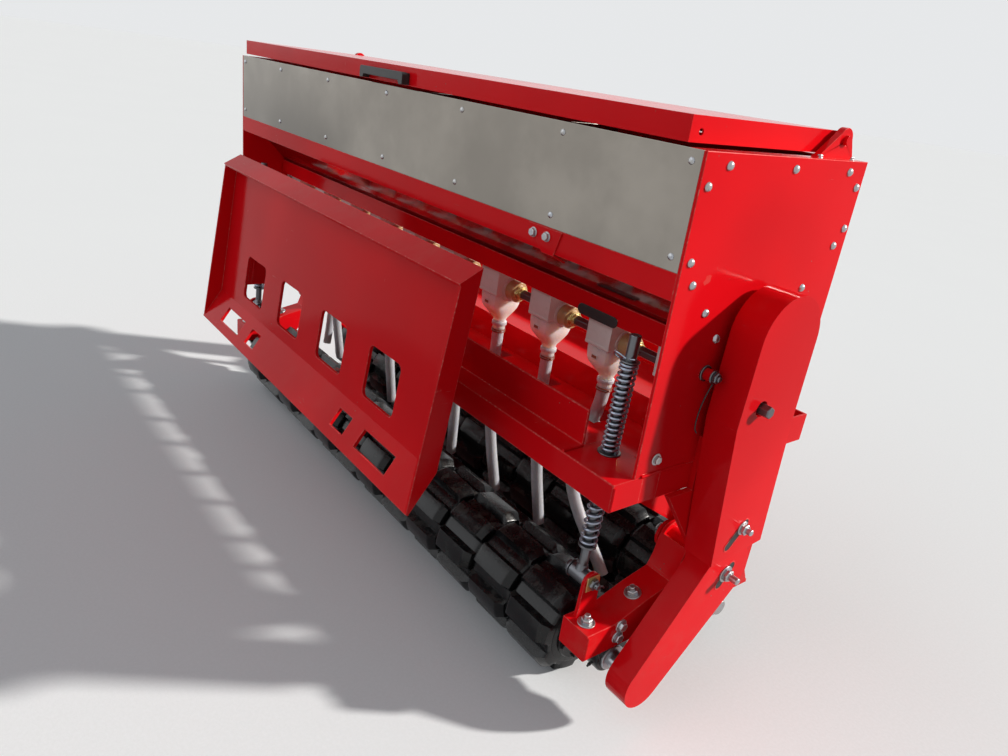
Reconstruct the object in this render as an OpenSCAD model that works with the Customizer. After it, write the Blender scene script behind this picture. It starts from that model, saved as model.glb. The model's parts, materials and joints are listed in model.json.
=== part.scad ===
// Seed drill that a skid steer carries: a V hopper with seed meters on one driven shaft,
// between two notched packer rollers. Millimetres; Z is up from the ground.
// Inside the modules X runs along the machine from its centre plane, towards the chain
// cases, and Y runs from the coupler to the back.

/* [Hopper] */
// Width over the side plates
machine_w = 1772; // [1600:2:1900]
// Thickness of the side plates
side_t = 6; // [4:1:10]
// Thickness of the folded sheets
sheet_t = 3; // [2:0.5:4]
// Y of the hopper's front
hopper_y0 = 197; // [190:1:215]
// Depth of the hopper, front to back
hopper_d = 433; // [410:1:480]
// Height of the hopper's rim above the ground
rim_z = 1039; // [1000:1:1100]
// Height of the hopper's flat bottom above the ground
bottom_z = 717; // [700:1:740]
// Width of the flat bottom, front to back
bottom_d = 96; // [80:1:110]
// Height at which the front slope starts
slope_front_z = 876; // [850:1:900]
// Height at which the back slope starts
slope_back_z = 925; // [890:1:960]
// Height of the lower edge of the bright front panel
panel_z = 865; // [845:1:885]
// Depth of the fold under that band
band_d = 26; // [20:1:32]
// Height of the band under the front panel
band_h = 42; // [30:1:55]
// X of the bent bracket on the band
bracket_x = 539; // [500:1:600]
// Width of the bracket's top
bracket_w = 90; // [70:1:110]

/* [Lid] */
// Gap between each end of the lid and the outside of the hopper
lid_inset = 36; // [30:1:50]
// Height of the lid
lid_h = 37; // [30:1:50]
// Gap between the hopper's rim and the lid
lid_gap = 6; // [6:1:12]
// Depth of the lid's top, front to back
lid_d = 383; // [360:1:390]
// How far the lid's back slants in towards its lower edge
lid_slant = 53; // [48:1:58]
// Y of the lid's hinge, counted from the hopper's front
hinge_y = 375; // [371:1:378]
// Height of the lid's hinge above the rim
hinge_h = 30; // [28:1:32]
// Radius of the hinge pin
hinge_pin_r = 8; // [6:0.5:10]
// Length of the hinge ears on the side plates
ear_l = 109; // [96:1:116]
// Length of the lid's handle
handle_w = 188; // [160:1:220]

/* [Frame] */
// Y of the frame's front
frame_y0 = 150; // [140:1:160]
// Height of the frame's lower edge above the ground
frame_z = 473; // [460:1:480]
// Height of the frame's members
frame_h = 51; // [45:1:60]
// Depth of the front sill's top, front to back
sill_d = 50; // [40:1:60]
// Height of the guard that stands up behind the sill
guard_h = 67; // [50:1:80]
// Height that the gusset plates reach above the frame
gusset_rise = 160; // [120:1:180]
// Distance of the gusset plates from the centre plane
gusset_x = 416; // [400:1:440]
// Thickness of the gusset plates
gusset_t = 10; // [8:1:14]
// Depth of the sill's ends behind its guard
sill_end_d = 58; // [50:1:66]
// Thickness of the folded sill and tray
sill_t = 5; // [3:0.5:6]
// Width of the side members
member_w = 60; // [50:1:70]
// Y of the tray's front wall
tray_y0 = 438; // [430:1:450]
// Y of the tray's back wall
tray_y1 = 702; // [698:1:720]
// Height of the tray's front wall
tray_front_h = 55; // [45:1:70]
// Drop of the apron under the tray's front wall
apron_h = 49; // [40:1:49]
// Height of the tray's back wall
tray_back_h = 58; // [40:1:70]
// Height of the tray's floor above the frame's lower edge
tray_lift = 17; // [10:1:24]

/* [Coupler plate] */
// Width of the coupler plate
coupler_w = 1150; // [1110:1:1180]
// Thickness of the coupler plate
coupler_t = 8; // [6:0.5:10]
// Length of the plate between its folds
coupler_h = 369; // [355:1:380]
// Lean of the plate, its top towards the hopper
coupler_lean = 7.5; // [5:0.5:9]
// Y of the lower fold
coupler_y = 23; // [18:1:30]
// Height of the lower fold above the ground
coupler_z = 414; // [405:1:425]
// Depth of the lower lip along Y
lip_d = 53; // [45:1:60]
// Drop of the lower lip
lip_h = 76; // [70:1:82]
// Depth of the upper lip along Y
hook_d = 33; // [28:1:38]
// Drop of the upper lip
hook_h = 18; // [14:1:22]
// Width of a window
window_w = 125; // [100:1:150]
// Height of a window
window_h = 112; // [90:1:130]
// Spacing of the windows
window_pitch = 229; // [200:1:240]
// Length of the outer pin slot in the lower lip
slot_w = 127; // [110:1:140]
// Length of the inner pin slot
slot_in_w = 57; // [45:1:70]
// Gap between the two pin slots
slot_gap = 53; // [40:1:65]
// Distance of the outer pin slot from the plate's end
slot_end = 110; // [90:1:130]
// Width of the pin slots along the lip
slot_d = 42; // [32:1:50]

/* [Rollers] */
// Outer radius of the rollers
roller_r = 106; // [98:1:112]
// Radius at the bottom of the notches
notch_r = 88; // [76:1:94]
// Lobes on each ring
lobes = 8; // [6:1:10]
// Number of rings on a roller
ring_count = 12; // [9:1:13]
// Gap between rings
ring_gap = 5; // [3:1:8]
// Gap between the last ring and an arm
ring_in = 32; // [30:1:60]
// Width of a lobe's top, in degrees
lobe_width = 22; // [18:1:26]
// Y of the front roller's axle
front_axle_y = 274; // [266:1:280]
// Y of the rear roller's axle
rear_axle_y = 590; // [580:1:592]
// Radius of the roller shafts
axle_r = 17.5; // [15:0.5:20]
// Length of a bearing's foot
foot_l = 156; // [140:1:160]
// Width of a bearing's housing
housing_w = 72; // [66:1:76]
// Running clearance of the shafts in their bearings
run_gap = 0.05; // [0.02:0.01:0.1]

/* [Arms and springs] */
// Y of the arms' pivot
pivot_y = 442; // [436:1:446]
// Height of the arms' pivot
pivot_z = 296; // [290:1:300]
// Radius of the pivot shafts
pivot_r = 15; // [12:0.5:18]
// Distance of the arms' inner side from the hopper's outer side
arm_in = 74; // [70:1:77]
// Width of an arm
arm_w = 66; // [60:1:68]
// Distance of the arms' front face from the axle
arm_front = 98; // [92:1:104]
// Height of the arms' front top above the axle
arm_rise = 99; // [92:1:104]
// Height of the arms' bottom plate above the axle
arm_seat = 42; // [40:1:46]
// Radius of the arms' round ends
arm_end_r = 46; // [40:1:50]
// Thickness of the arms' plates
arm_t = 8; // [6:1:10]
// Y of the front corner of the arms' hangers
hanger_y = 285; // [275:1:300]
// Distance of the spring rods from the arms' inner side
rod_in = 14; // [12:1:18]
// Y of the rod's eye
rod_y = 217; // [210:1:222]
// Height of the rod's eye
rod_z = 274; // [268:1:280]
// Lean of the rods, their tops towards the hopper
rod_lean = 2; // [0:0.5:2.5]
// Radius of the spring rods
rod_r = 9; // [7:0.5:10]
// Mean radius of the springs
spring_r = 14; // [12.5:0.5:16]
// Radius of the spring wire
wire_r = 2.5; // [1.5:0.25:3]
// Length of the upper springs
spring_top_l = 168; // [150:1:180]
// Length of the lower springs
spring_low_l = 134; // [110:1:140]

/* [Meters] */
// Number of seed meters
meter_count = 10; // [8:1:10]
// Y of the meters' shaft
shaft_y = 382; // [378:1:386]
// Drop of the meters' shaft under the hopper's bottom
shaft_drop = 65; // [62:1:68]
// Size of the hexagonal shaft across its flats
shaft_af = 19; // [16:1:22]
// Width of a meter's housing
meter_w = 48; // [42:1:54]
// Depth of a meter's housing, front to back
meter_d = 78; // [70:1:84]
// Height of a meter's housing
meter_h = 76; // [70:1:78]
// Radius of the collars beside the meters
collar_r = 24; // [20:0.5:27]
// Length of the collars
collar_l = 36; // [28:1:44]
// Distance of the meter rail's front from the hopper's flat bottom
rail_in = 29; // [26:1:32]
// Height of the meter rail's front
rail_h = 40; // [32:1:46]
// Width of the shaft's bearing plates
plate_d = 80; // [70:1:90]
// X of the long slot in the meter rail's front
rail_slot_x = 568; // [500:1:620]
// Length of that slot
rail_slot_w = 103; // [60:1:120]
// Height of the funnels
funnel_h = 64; // [60:1:76]
// Outer radius of the seed tubes
tube_r = 15; // [14:0.5:17]

/* [Chain cases] */
// Gap between the side plate and the upper case
upper_out = 14; // [13:1:18]
// Thickness of the upper case
upper_t = 62; // [50:1:70]
// Gap between the side plate and the lower case
lower_out = 12; // [11:1:16]
// Thickness of the lower case
lower_t = 50; // [44:1:54]
// Width of the upper case
upper_w = 156; // [150:1:164]
// Radius of the lower case's end at the roller
lower_end_r = 48; // [44:1:54]
// Radius of the lower case's end at the arms' pivot
lower_top_r = 66; // [62:1:70]
// Y of the agitator shaft, in the upper case's round top
agitator_y = 412; // [408:1:416]
// Height of the agitator shaft above the hopper's bottom
agitator_lift = 46; // [44:1:50]
// Reach of the agitator's fingers
finger_r = 34; // [28:1:36]
// Radius of the agitator shaft
agitator_r = 8; // [6:0.5:9]
// Height of the upper case's lower edge
upper_z0 = 346; // [342:1:352]
// Reach of the meter and pivot shafts past the side plate
tip_out = 94; // [90:1:104]
// Reach of the pivot shaft past the side plate at the plain end
plain_tip_out = 30; // [26:1:38]

/* [Hidden] */
$fn = 48;

red = [0.72, 0.02, 0.04];
half_w = machine_w / 2;
upper_x0 = half_w + upper_out;
lower_x0 = half_w + lower_out;
tip_x = half_w + tip_out;
plain_tip_x = half_w + plain_tip_out;
arm_x0 = half_w - arm_in;
rod_x = arm_x0 - rod_in;
rings_w = 2 * (arm_x0 - ring_in);
shaft_z = bottom_z - shaft_drop;
agitator_z = bottom_z + agitator_lift;
inner_w = half_w - side_t;
hopper_y1 = hopper_y0 + hopper_d;
frame_top = frame_z + frame_h;
tray_z = frame_z + tray_lift;
bottom_y0 = shaft_y - 27;
bottom_y1 = bottom_y0 + bottom_d;
lid_z = rim_z + lid_gap;
lid_y0 = hopper_y0 - 1;
lid_half = half_w - lid_inset;
hinge_py = hopper_y0 + hinge_y;
hinge_pz = rim_z + hinge_h;
pitch = 2 * half_w / meter_count;
meter_x = [for (i = [0 : meter_count - 1]) (i - (meter_count - 1) / 2) * pitch];
funnel_z = bottom_z - meter_h - 3;
neck_z = funnel_z - funnel_h;
coupler_top = [coupler_y + coupler_h * sin(coupler_lean), coupler_z + coupler_h * cos(coupler_lean)];
origin_x = (tip_x - plain_tip_x) / 2;
origin_y = (coupler_y - lip_d + tray_y1) / 2;
axle_z = roller_r;
arm_top = axle_z + arm_rise;
arm_low = axle_z + arm_seat;
divider_x = [-half_w / 3, half_w / 3];
clear = 0.3;

// Sideways share, drop and bow share of each point along a hanging seed tube
TUBE_PATH = [[0, 0, 0], [0, 33, 0], [0.01, 66, 0.06], [0.03, 99, 0.18], [0.07, 132, 0.35],
    [0.13, 165, 0.54], [0.2, 198, 0.73], [0.29, 231, 0.88], [0.38, 264, 0.96],
    [0.48, 297, 0.95], [0.58, 330, 0.84], [0.68, 363, 0.65], [0.79, 396, 0.42], [0.9, 429, 0.2],
    [1, 460, 0]];
// How far each tube's end has moved along X and Y, how much shorter it is, and its sideways bow
TUBE_END = [[30, 50, 10, 90], [16, 44, 26, 10], [-20, 52, 0, -16], [10, 46, 16, 12],
    [24, 54, 30, 0], [-16, 48, 4, 20], [12, 48, -2, -12], [10, 50, 2, -8], [57, 48, 0, -85],
    [-30, 50, 8, -90]];

// Places the machine with its origin on the ground, under the middle of its box
module placed() {
    translate([-origin_x, -origin_y, 0]) children();
}

// A plate of thickness t whose outline is in Y and Z, from x0 towards +X
module plate_x(x0, t) {
    translate([x0, 0, 0]) rotate([90, 0, 90]) linear_extrude(t) children();
}

// A round bar or hole along X
module bar_x(x0, x1, y, z, r) {
    translate([x0, y, z]) rotate([0, 90, 0]) cylinder(h = x1 - x0, r = r);
}

// The same thing on both sides of the centre plane
module both_sides() {
    children();
    mirror([1, 0, 0]) children();
}

function unit(v) = v / norm(v);
function left_of(v) = [-v[1], v[0]];
function fold_edge(p, i, t) =
    i == 0 ? p[0] + left_of(unit(p[1] - p[0])) * t :
    i == len(p) - 1 ? p[i] + left_of(unit(p[i] - p[i - 1])) * t :
    let (a = left_of(unit(p[i] - p[i - 1])), b = left_of(unit(p[i + 1] - p[i])))
    p[i] + (a + b) * t / (1 + a * b);
// Section of a folded sheet: its face through the points p and its thickness t to their left
function folded(p, t) = concat(p, [for (i = [len(p) - 1 : -1 : 0]) fold_edge(p, i, t)]);

function frame_of(d) = let (s = unit(cross(d, [0, 1, 0.02]))) [s, unit(cross(d, s))];
function ring_at(c, d, r, sides) = let (f = frame_of(d))
    [for (k = [0 : sides - 1]) let (a = 360 * k / sides) c + r * (f[0] * cos(a) + f[1] * sin(a))];
function tangent(p, i) = unit(p[min(i + 1, len(p) - 1)] - p[max(i - 1, 0)]);

// A closed tube swept along the points p
module swept(p, r, sides) {
    n = len(p);
    pts = [for (i = [0 : n - 1]) each ring_at(p[i], tangent(p, i), r, sides)];
    walls = [for (i = [0 : n - 2], k = [0 : sides - 1]) let (a = i * sides + k,
        b = i * sides + (k + 1) % sides) each [[a, b, b + sides], [a, b + sides, a + sides]]];
    caps = [[for (k = [sides - 1 : -1 : 0]) k], [for (k = [0 : sides - 1]) (n - 1) * sides + k]];
    polyhedron(points = pts, faces = concat(walls, caps), convexity = 6);
}

// A helical spring that stands on the origin
module spring(len, turns) {
    steps = 10;
    low = wire_r;
    rise = len - 2 * wire_r;
    pts = [for (i = [0 : turns * steps]) let (a = 360 * i / steps)
        [spring_r * cos(a), spring_r * sin(a), low + rise * i / (turns * steps)]];
    swept(pts, wire_r, 5);
}

module coupler_plate() {
    low = [coupler_y, coupler_z];
    section = [low + [-lip_d, -lip_h], low, coupler_top, coupler_top + [-hook_d, -hook_h]];
    lip_angle = atan2(lip_h, lip_d);
    lip_l = norm([lip_h, lip_d]);
    x_outer = coupler_w / 2 - slot_end - slot_w / 2;
    x_inner = x_outer - slot_w / 2 - slot_gap - slot_in_w / 2;
    color(red) {
        difference() {
            plate_x(-coupler_w / 2, coupler_w) polygon(folded(section, -coupler_t));
            for (i = [-1.5 : 1 : 1.5])
                translate([i * window_pitch, coupler_y, coupler_z]) rotate([-coupler_lean, 0, 0])
                    translate([0, coupler_t + 10, 30 + window_h / 2]) window(coupler_t + 20);
            for (s = [-1, 1], c = [[x_outer, slot_w], [x_inner, slot_in_w]])
                translate([s * c[0], coupler_y, coupler_z]) rotate([180 + lip_angle, 0, 0])
                    translate([-c[1] / 2, lip_l / 2 - slot_d / 2, -30]) cube([c[1], slot_d, 60]);
        }
        both_sides() plate_x(coupler_w / 2 - 6, 6)
            polygon([for (i = [0 : 3]) fold_edge(section, i, -coupler_t / 4)]);
    }
}

// A rounded window along Y, centred, that cuts t deep towards -Y
module window(t) {
    r = 14;
    w = window_w / 2 - r;
    h = window_h / 2 - r;
    rotate([90, 0, 0]) {
        translate([-window_w / 2, -h, 0]) cube([window_w, 2 * h, t]);
        translate([-w, -window_h / 2, 0]) cube([2 * w, window_h, t]);
        for (x = [-w, w], y = [-h, h]) translate([x, y, 0]) cylinder(h = t, r = r);
    }
}

module coupler_gussets() {
    back = coupler_t / cos(coupler_lean) + 0.1;
    slope = tan(coupler_lean);
    color(red) for (x = [-gusset_x, gusset_x])
        plate_x(x - gusset_t / 2, gusset_t) polygon([
            [coupler_y + back + slope * (frame_z - coupler_z), frame_z],
            [frame_y0, frame_z], [frame_y0, frame_top],
            [frame_y0 - gusset_rise / 8, frame_top + gusset_rise / 4],
            [coupler_y + back + slope * (frame_top + gusset_rise - coupler_z), frame_top + gusset_rise]]);
}

module front_sill() {
    top = frame_top;
    guard_x = rod_x - 2.4 * (spring_r + wire_r);
    color(red) difference() {
        union() {
            plate_x(-half_w, machine_w) polygon(folded([[frame_y0, frame_z], [frame_y0, top],
                [frame_y0 + sill_d + sill_end_d, top]], -sill_t));
            translate([-guard_x, frame_y0 + sill_d, top]) cube([2 * guard_x, sill_t, guard_h]);
            both_sides() translate([half_w - sill_t, frame_y0, frame_z])
                cube([sill_t, sill_d + 20, frame_h]);
        }
        translate([-guard_x, frame_y0 + sill_d + sill_t, frame_z])
            cube([2 * guard_x, 60, frame_h + 1]);
        both_sides() rod_hole(rod_r + 3);
    }
}

// The hole that a spring rod passes through
module rod_hole(r) {
    translate([rod_x, rod_y, rod_z]) rotate([-rod_lean, 0, 0])
        translate([0, 0, 120]) cylinder(h = 200, r = r);
}

module side_members() {
    y0 = frame_y0 + sill_d + 20;
    wall = 5;
    color(red) both_sides() difference() {
        translate([half_w - member_w, y0 + 40, frame_z])
            cube([member_w, tray_y0 - y0 - 40, frame_h - 0.1]);
        translate([half_w - member_w + wall, y0, frame_z + wall])
            cube([member_w - 2 * wall, tray_y0 - y0 + 20, frame_h - 2 * wall - 0.1]);
    }
}

module rear_tray() {
    w = inner_w - clear;
    color(red) {
        plate_x(-w, 2 * w) polygon(folded([[tray_y0, tray_z + tray_front_h], [tray_y0, tray_z],
            [tray_y1, tray_z], [tray_y1, tray_z + tray_back_h]], sill_t));
        translate([-w, tray_y0, tray_z - apron_h]) cube([2 * w, sill_t, apron_h + 1]);
        both_sides() plate_x(w - sill_t, sill_t) polygon([[tray_y0, tray_z],
            [tray_y1, tray_z], [tray_y1, tray_z + tray_back_h], [tray_y0, tray_z + tray_back_h]]);
    }
}

module side_plates() {
    color(red) both_sides() {
        difference() {
            plate_x(inner_w, side_t) polygon([[hopper_y0, frame_top], [hopper_y1, frame_top],
                [hopper_y1, rim_z], [hopper_y0, rim_z]]);
            bar_x(0, half_w + 10, shaft_y, shaft_z, shaft_af * 0.75);
            bar_x(0, half_w + 10, agitator_y, agitator_z, agitator_r + run_gap);
        }
        translate([half_w - lid_inset, hopper_y0 + 2.3, rim_z - sheet_t])
            cube([lid_inset - side_t, hopper_d - sheet_t - 2.6, sheet_t]);
    }
}

module front_panel() {
    color([0.75, 0.75, 0.76]) translate([-inner_w, hopper_y0, panel_z])
        cube([2 * inner_w, 2, rim_z - panel_z]);
}

module front_band() {
    top = panel_z - 0.1;
    color(red) plate_x(-inner_w, 2 * inner_w) polygon(folded([[hopper_y0 + band_d, top - band_h],
        [hopper_y0, top - band_h], [hopper_y0, top]], -sheet_t));
}

module band_bracket() {
    z = panel_z - 1;
    tip = bracket_x + 0.74 * bracket_w;
    color(red) intersection() {
        plate_x(bracket_x, bracket_w) polygon(folded([[hopper_y0 - 0.1, z],
            [hopper_y0 - 0.1, z - band_h], [hopper_y0 + 33, z - band_h - 15]], -sheet_t));
        translate([0, hopper_y0 + 50, 0]) rotate([90, 0, 0]) linear_extrude(100)
            polygon([[bracket_x, z + 1], [tip - 4, z - band_h - 20], [tip + 4, z - band_h - 20],
                [bracket_x + bracket_w, z + 1]]);
    }
}

function floor_line() = [[hopper_y0 + 3, slope_front_z], [bottom_y0, bottom_z],
    [bottom_y1, bottom_z], [hopper_y1 - 3, slope_back_z]];

module hopper_floor() {
    color([0.75, 0.75, 0.76]) difference() {
        plate_x(-inner_w, 2 * inner_w) polygon(folded(floor_line(), 2));
        for (x = meter_x) translate([x, shaft_y + 12, bottom_z - 5]) cylinder(h = 12, r = 15);
    }
}

module back_panel() {
    color(red) {
        translate([-inner_w, hopper_y1 - sheet_t, slope_back_z - 40])
            cube([2 * inner_w, sheet_t, rim_z - slope_back_z + 40]);
        translate([-lid_half + 0.1, lid_y0 + lid_d + 14, rim_z - sheet_t])
            cube([2 * lid_half - 0.2, hopper_y1 - sheet_t - lid_y0 - lid_d - 14.1, sheet_t]);
    }
}

module hopper_dividers() {
    p = floor_line();
    color([0.75, 0.75, 0.76]) for (x = divider_x) difference() {
        plate_x(x - 1.5, 3) polygon(concat([for (i = [0 : 3]) fold_edge(p, i, 2.3)],
            [[hopper_y1 - sheet_t - 0.3, slope_back_z + 6], [hopper_y1 - sheet_t - 0.3, rim_z - 20],
            [hopper_y0 + 2.3, rim_z - 20], [hopper_y0 + 2.3, slope_front_z + 6]]));
        bar_x(x - 5, x + 5, agitator_y, agitator_z, 14);
    }
}

module hinge_ears() {
    color(red) both_sides() difference() {
        translate([lid_half + 6, 0, 0]) union() {
            plate_x(0, 12) union() {
                translate([hinge_py, hinge_pz]) circle(r = 20);
                polygon([[hinge_py - ear_l * 0.66, rim_z], [hinge_py + ear_l * 0.34, rim_z],
                    [hinge_py + 17, hinge_pz + 8], [hinge_py - 11, hinge_pz + 15]]);
            }
        }
        bar_x(lid_half, half_w, hinge_py, hinge_pz, hinge_pin_r + run_gap);
    }
}

module lid() {
    z1 = lid_z + lid_h;
    back_top = lid_y0 + lid_d;
    color(red) {
        difference() {
            plate_x(-lid_half, 2 * lid_half) polygon([[lid_y0, lid_z], [back_top - lid_slant, lid_z],
                [back_top, z1 - 4], [back_top, z1], [lid_y0, z1]]);
            plate_x(-lid_half + sheet_t, 2 * lid_half - 2 * sheet_t) polygon([
                [lid_y0 + sheet_t, lid_z - 1], [back_top - lid_slant - 6, lid_z - 1],
                [back_top - 10, z1 - sheet_t], [lid_y0 + sheet_t, z1 - sheet_t]]);
            bar_x(lid_half - 10, lid_half + 1, lid_y0 + 24, lid_z + 15, 5);
        }
        both_sides() {
            plate_x(lid_half - 10, 8) union() {
                translate([hinge_py, hinge_pz]) circle(r = 11);
                polygon([[hinge_py - 48, z1 - sheet_t - 20], [hinge_py, hinge_pz - 11],
                    [hinge_py + 4, z1 - sheet_t], [hinge_py - 48, z1 - sheet_t]]);
            }
            bar_x(lid_half - 10, half_w - 12, hinge_py, hinge_pz, hinge_pin_r);
        }
    }
}

module lid_handle() {
    color([0.05, 0.05, 0.05]) {
        for (x = [-1, 1]) translate([x * (handle_w / 2 - 6) - 6, lid_y0 - 14, lid_z + lid_h / 2 - 6])
            cube([12, 14, 12]);
        bar_x(-handle_w / 2, handle_w / 2, lid_y0 - 14, lid_z + lid_h / 2, 5);
    }
}

module meter_rail() {
    z = bottom_z - 0.1;
    rise = (slope_front_z - bottom_z) / (bottom_y0 - hopper_y0 - 3);
    top = z + (rail_in - 7) * rise - 0.6;
    color(red) difference() {
        plate_x(-inner_w, 2 * inner_w) polygon(folded([[bottom_y0 - rail_in, top - rail_h],
            [bottom_y0 - rail_in, top], [bottom_y0 - rail_in + 7, top], [bottom_y0 - rail_in + 7, z],
            [bottom_y1, z]], -sheet_t));
        translate([rail_slot_x, bottom_y0 - 40, z - 15]) cube([rail_slot_w, 20, 9]);
        for (x = meter_x) translate([x, shaft_y + 12, z - 5]) cylinder(h = 12, r = 15);
    }
}

module meter_housings() {
    y0 = shaft_y - 44;
    z0 = bottom_z - 3.2 - meter_h;
    color([0.93, 0.92, 0.9]) for (x = meter_x) difference() {
        translate([x - meter_w / 2, y0, z0]) cube([meter_w, meter_d, meter_h]);
        bar_x(x - meter_w, x + meter_w, shaft_y, shaft_z, shaft_af * 0.75);
    }
}

module meter_funnels() {
    z1 = bottom_z - 3.3 - meter_h;
    y0 = shaft_y - 44;
    q = tube_r - 5;
    color([0.9, 0.9, 0.88, 0.7]) for (x = meter_x) {
        polyhedron(points = [
            [x - meter_w / 2, y0, z1], [x + meter_w / 2, y0, z1],
            [x + meter_w / 2, y0 + meter_d, z1], [x - meter_w / 2, y0 + meter_d, z1],
            [x - q, shaft_y - q, z1 - funnel_h + 20], [x + q, shaft_y - q, z1 - funnel_h + 20],
            [x + q, shaft_y + q, z1 - funnel_h + 20], [x - q, shaft_y + q, z1 - funnel_h + 20]],
            faces = [[3, 2, 1, 0], [4, 5, 6, 7], [0, 1, 5, 4], [1, 2, 6, 5], [2, 3, 7, 6],
            [3, 0, 4, 7]]);
        translate([x, shaft_y, z1 - funnel_h]) cylinder(h = 24, r = tube_r - 1);
    }
}

module shaft_plates() {
    color([0.93, 0.92, 0.9]) both_sides() difference() {
        translate([inner_w - 8.2, shaft_y - plate_d / 2, shaft_z - 0.75 * plate_d])
            cube([8, plate_d, 0.75 * plate_d + shaft_drop - 15]);
        bar_x(0, half_w, shaft_y, shaft_z, shaft_af / sqrt(3) + run_gap);
    }
}

function tube_points(k) = let (e = TUBE_END[k], s = (460 - e[2]) / 460)
    [for (q = TUBE_PATH) [meter_x[k] + e[0] * q[0] + e[3] * q[2],
        shaft_y + e[1] * q[0], bottom_z - 3.8 - meter_h - funnel_h - s * q[1]]];

module seed_tube(k) {
    p = tube_points(k - 1);
    color([0.95, 0.93, 0.85]) swept([for (i = [0, 1, 3, 5, 7, 9, 11, 13, 14]) p[i]], tube_r, 8);
}

// Outline of a link whose round ends are at a and b, with radii ra and rb
function link(a, b, ra, rb) =
    let (d = b - a, t = atan2(d[1], d[0]), s = asin((rb - ra) / norm(d)), n = 15)
    [for (k = [0 : n]) let (q = t + 90 + s + k * (180 - 2 * s) / n) a + ra * [cos(q), sin(q)],
     for (k = [0 : n]) let (q = t - 90 - s + k * (180 + 2 * s) / n) b + rb * [cos(q), sin(q)]];

module upper_chain_case() {
    w = upper_w / 2;
    kink_z = shaft_z - 30;
    color(red) for (q = [[agitator_y - 45, bottom_z - 8], [agitator_y + 45, bottom_z - 8]])
        bar_x(half_w + 0.2, upper_x0, q[0], q[1], 10);
    color(red) for (q = [[agitator_y - 25, frame_top + 36], [agitator_y + 60, frame_top + 36]])
        bar_x(lower_x0 - 0.1, upper_x0, q[0], q[1], 10);
    color(red) difference() {
        plate_x(upper_x0, upper_t) union() {
            translate([agitator_y, agitator_z]) circle(r = w);
            polygon([[agitator_y - w, agitator_z], [agitator_y - w - 6, kink_z],
                [agitator_y - w + 30, upper_z0], [agitator_y + w + 16, upper_z0 + 14],
                [agitator_y + w, kink_z], [agitator_y + w, agitator_z]]);
        }
        bar_x(upper_x0 - 1, tip_x, shaft_y, shaft_z, shaft_af * 0.75);
        bar_x(upper_x0 - 1, upper_x0 + upper_t - 6, agitator_y, agitator_z, 10);
    }
}

module lower_chain_case() {
    color(red) difference() {
        plate_x(lower_x0, lower_t) difference() {
            polygon(link([front_axle_y, axle_z], [pivot_y, pivot_z], lower_end_r, lower_top_r));
            translate([pivot_y - 200, upper_z0 - 0.1]) square([400, 100]);
        }
        bar_x(lower_x0 - 1, lower_x0 + lower_t - 6, front_axle_y, axle_z, axle_r + 2);
        bar_x(lower_x0 - 1, tip_x, pivot_y, pivot_z, pivot_r);
    }
}

module pivot_hangers() {
    web_r = pivot_r + 14;
    color(red) both_sides() difference() {
        union() {
            plate_x(half_w + 0.1, lower_x0 - half_w - 0.4) union() {
                translate([pivot_y, pivot_z]) circle(r = arm_end_r);
                polygon([[pivot_y - arm_end_r, pivot_z + 6], [pivot_y - 7, pivot_z - 45],
                    [pivot_y + arm_end_r, pivot_z], [pivot_y + 1.5 * arm_end_r, frame_top + frame_h],
                    [hanger_y + 60, frame_top + frame_h], [hanger_y + 60, frame_z],
                    [hanger_y, frame_z], [pivot_y - 52, pivot_z + 40]]);
            }
            plate_x(arm_x0 - 14.3, 6) union() {
                translate([pivot_y, pivot_z]) circle(r = web_r);
                polygon([[pivot_y + 4, pivot_z + web_r - 1], [pivot_y - 90, pivot_z + 89],
                    [hanger_y - 23, frame_z - 29], [hanger_y - 23, frame_z - 0.1],
                    [tray_y0 - 1, frame_z - 0.1], [tray_y0 - 1, frame_z - 60],
                    [pivot_y + web_r - 1, pivot_z + 4]]);
            }
            translate([arm_x0 - 14.3, hanger_y - 23, frame_z - 6.1])
                cube([32, tray_y0 - hanger_y + 22, 6]);
        }
        bar_x(0, half_w + 30, pivot_y, pivot_z, pivot_r);
    }
}

module pivot_shafts() {
    color([0.7, 0.7, 0.68]) {
        bar_x(arm_x0 - 24, tip_x, pivot_y, pivot_z, pivot_r - 0.1);
        bar_x(-plain_tip_x, -arm_x0 + 24, pivot_y, pivot_z, pivot_r - 0.1);
    }
}

// Outline of an arm, in Y and Z
module arm_outline() {
    polygon([[front_axle_y - arm_front, arm_low], [front_axle_y - arm_front, arm_top],
        [front_axle_y - 0.29 * arm_front, arm_top],
        [front_axle_y + 0.51 * arm_front, arm_top + 0.26 * arm_rise],
        [front_axle_y + 0.9 * arm_front, arm_top + 0.57 * arm_rise],
        [pivot_y - 0.87 * arm_end_r, pivot_z + arm_end_r / 2],
        [pivot_y, pivot_z + arm_end_r],
        [pivot_y + 0.2 * arm_end_r, pivot_z - 0.97 * arm_end_r],
        [front_axle_y + 0.64 * arm_front, arm_low]]);
    translate([pivot_y, pivot_z]) circle(r = arm_end_r);
}

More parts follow.
